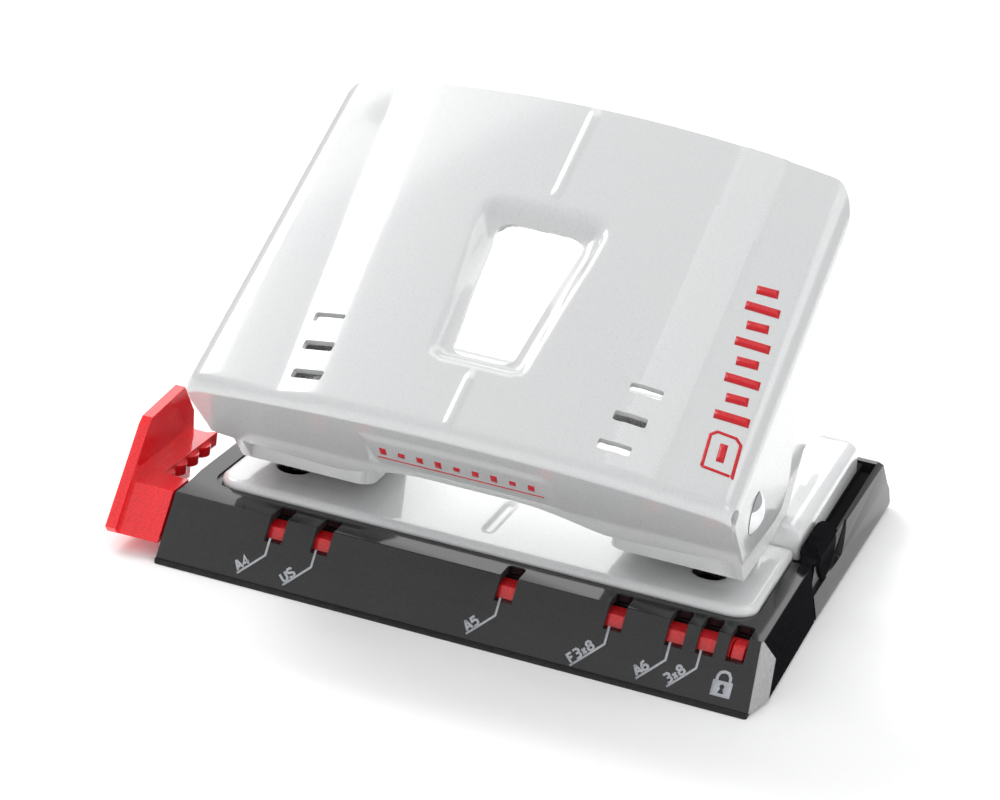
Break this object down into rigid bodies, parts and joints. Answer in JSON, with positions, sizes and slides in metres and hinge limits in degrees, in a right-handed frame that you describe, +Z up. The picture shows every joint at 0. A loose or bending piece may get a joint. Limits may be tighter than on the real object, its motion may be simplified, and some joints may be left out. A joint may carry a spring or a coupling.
{
  "type": "two-hole paper punch",
  "caption": "Desk paper punch with a raised pressed-steel lever, sprung pins, a sliding side stop for sheet sizes and a chip drawer.",
  "frame": {"origin": "centre of the resting face under the rubber mat, halfway between the two punched holes", "axes": "+X along the paper's edge towards the lock slider, +Y to the rear, +Z up"},
  "size_m": [0.1236, 0.1282, 0.0843],
  "materials": {
    "shell_black": "moulded, fine texture",
    "underside_black": "moulded, matt",
    "lock_black": "polished",
    "mat_rubber": "matt",
    "white_paint": "glossy pearl white paint on pressed steel",
    "guide_red": "polished, slightly translucent",
    "plain_steel": "bright",
    "chrome_rivet": "mirror"
  },
  "bodies": {
    "base": {"base_shell": "shell_black", "rear_deck": "shell_black", "guide_cover": "underside_black", "floor_pan": "underside_black", "base_mat": "mat_rubber", "paper_table": "white_paint", "rear_plate": "white_paint", "left_bracket": "white_paint", "right_bracket": "white_paint", "left_pin_bush": "plain_steel", "right_pin_bush": "plain_steel", "left_die": "plain_steel", "right_die": "plain_steel", "left_pin_spring": "plain_steel", "right_pin_spring": "plain_steel", "base_screws": "plain_steel", "bracket_rivets": "plain_steel", "left_pivot_rivet": "chrome_rivet", "right_pivot_rivet": "chrome_rivet"},
    "lever": {"handle": "white_paint", "press_bar": "plain_steel"},
    "left_pin": {"left_punch_pin": "plain_steel"},
    "right_pin": {"right_punch_pin": "plain_steel"},
    "guide": {"paper_guide": "guide_red"},
    "index_tab": {"index_tab": "guide_red"},
    "lock": {"lock_slider": "lock_black"},
    "drawer": {"chip_drawer": "shell_black"}
  },
  "joints": [
    {"name": "handle_pivot", "type": "hinge", "parent": "base", "child": "lever", "pos_m": [0, -0.047, 0.033], "axis": [-1, 0, 0], "range_deg": [0, 27], "stiffness_Nm_per_rad": 0.5, "springref_deg": -34.38},
    {"name": "left_pin_slide", "type": "slide", "parent": "base", "child": "left_pin", "axis": [0, 0, -1], "range_m": [0, 0.0083], "deforming": ["left_pin_spring"]},
    {"name": "right_pin_slide", "type": "slide", "parent": "base", "child": "right_pin", "axis": [0, 0, -1], "range_m": [0, 0.0083], "deforming": ["right_pin_spring"]},
    {"name": "guide_slide", "type": "slide", "parent": "base", "child": "guide", "axis": [-1, 0, 0], "range_m": [0, 0.0854]},
    {"name": "index_tab_press", "type": "slide", "parent": "guide", "child": "index_tab", "axis": [0, 0, -1], "range_m": [0, 0.0012], "stiffness_N_per_m": 300, "springref_m": -0.0005},
    {"name": "lock_slide", "type": "slide", "parent": "base", "child": "lock", "axis": [0, 1, 0], "range_m": [0, 0.0075]},
    {"name": "drawer_slide", "type": "slide", "parent": "base", "child": "drawer", "axis": [0, 1, 0], "range_m": [0, 0.045]}
  ],
  "couplings": [
    {"joint": "left_pin_slide", "follows": "handle_pivot", "m_per_rad": 0.01736},
    {"joint": "right_pin_slide", "follows": "handle_pivot", "m_per_rad": 0.01736}
  ]
}
